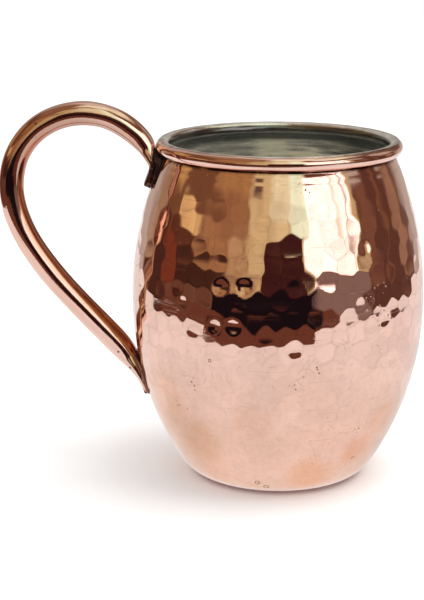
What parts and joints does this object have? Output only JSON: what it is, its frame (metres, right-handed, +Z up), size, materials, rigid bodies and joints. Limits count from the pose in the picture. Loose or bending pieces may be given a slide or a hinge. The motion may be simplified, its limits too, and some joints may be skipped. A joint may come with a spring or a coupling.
{
  "type": "copper mug",
  "caption": "Hammered copper barrel mug with a rolled rim, a tin-lined inside and a large bent tube handle that rises above the rim.",
  "frame": {"origin": "centre of the base, on the surface that the mug stands on", "axes": "+Z up along the barrel's axis, handle on the -X side, +Y across"},
  "size_m": [0.1301, 0.09, 0.1159],
  "materials": {
    "copper_sheet": "polished, hand hammered",
    "copper_wire": "drawn wire",
    "tin": "hot wiped, satin",
    "copper_tube": "polished, fire scale on the flattened ends",
    "braze_metal": "dark with fire scale"
  },
  "bodies": {
    "root": {"body": "copper_sheet", "rim_wire": "copper_wire", "tin_lining": "tin", "handle": "copper_tube", "upper_braze": "braze_metal", "lower_braze": "braze_metal"}
  },
  "joints": []
}
